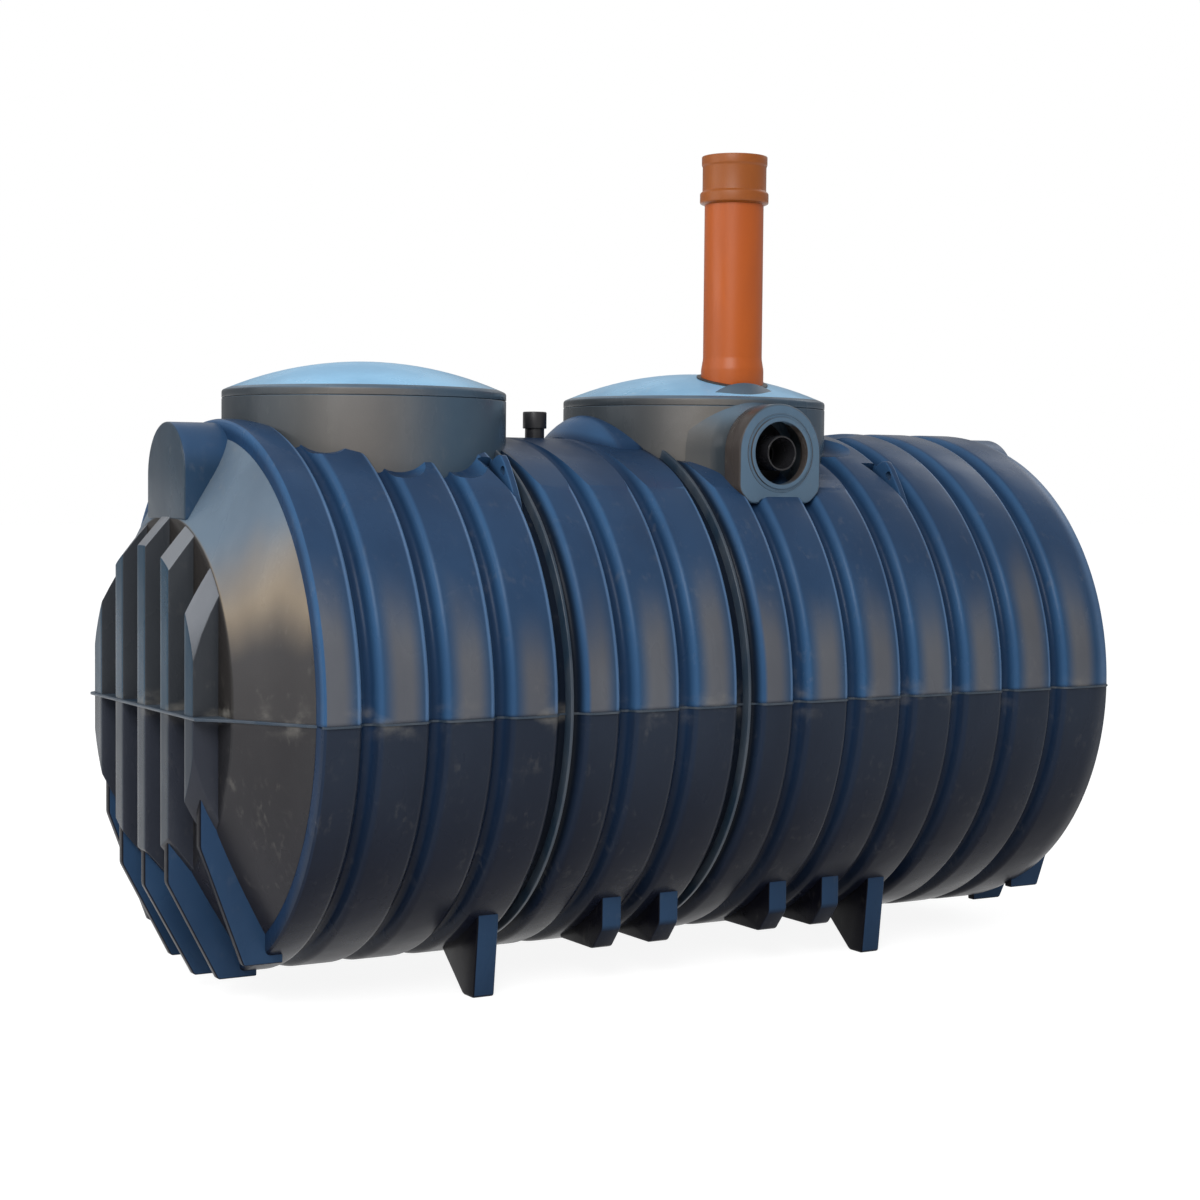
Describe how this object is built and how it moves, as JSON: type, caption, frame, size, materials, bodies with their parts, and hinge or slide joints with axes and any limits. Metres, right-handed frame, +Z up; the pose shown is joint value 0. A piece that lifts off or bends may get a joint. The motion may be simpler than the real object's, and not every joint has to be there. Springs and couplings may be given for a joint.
{
  "type": "septic_tank",
  "caption": "Horizontal ribbed polyethylene septic tank on four feet, with domed lids on its access necks, a side outlet port, lifting lugs and an upright vent pipe.",
  "frame": {"origin": "on the ground under the middle of the tank's length and width", "axes": "+X along the tank from the near end to the far end that has the vent pipe's neck, +Y towards the side without the outlet, +Z up"},
  "size_m": [2.744, 1.38, 2.168],
  "materials": {
    "black_polyethylene": "gloss",
    "blue_polyethylene": "satin",
    "orange_pvc": "semi_gloss",
    "black_rubber": "satin",
    "black_plastic": "satin"
  },
  "bodies": {
    "root": {"back_keel_fin_1": "black_polyethylene", "back_keel_fin_2": "black_polyethylene", "back_keel_fin_3": "black_polyethylene", "back_keel_fin_4": "black_polyethylene", "breather_cap": "black_plastic", "breather_stub": "black_plastic", "far_back_foot": "black_polyethylene", "far_back_lifting_lug": "black_polyethylene", "far_end_blades": "black_polyethylene", "far_end_cap": "black_polyethylene", "far_end_shell": "black_polyethylene", "far_front_foot": "black_polyethylene", "far_front_lifting_lug": "black_polyethylene", "far_inlet_boss": "black_polyethylene", "far_lid": "blue_polyethylene", "far_neck": "black_polyethylene", "far_neck_shoulder": "black_polyethylene", "far_seam_flange": "black_polyethylene", "far_shell": "black_polyethylene", "front_keel_fin_1": "black_polyethylene", "front_keel_fin_2": "black_polyethylene", "front_keel_fin_3": "black_polyethylene", "front_keel_fin_4": "black_polyethylene", "middle_joint_band": "black_polyethylene", "middle_shell": "black_polyethylene", "near_back_foot": "black_polyethylene", "near_back_lifting_lug": "black_polyethylene", "near_end_blades": "black_polyethylene", "near_end_cap": "black_polyethylene", "near_front_foot": "black_polyethylene", "near_front_lifting_lug": "black_polyethylene", "near_inlet_boss": "black_polyethylene", "near_joint_band": "black_polyethylene", "near_lid": "blue_polyethylene", "near_neck": "black_polyethylene", "near_seam_flange": "black_polyethylene", "near_shell": "black_polyethylene", "outlet_dip_pipe": "black_plastic", "outlet_housing": "black_polyethylene", "outlet_seal": "black_rubber", "vent_grommet": "black_rubber", "vent_pipe": "orange_pvc"}
  },
  "joints": []
}
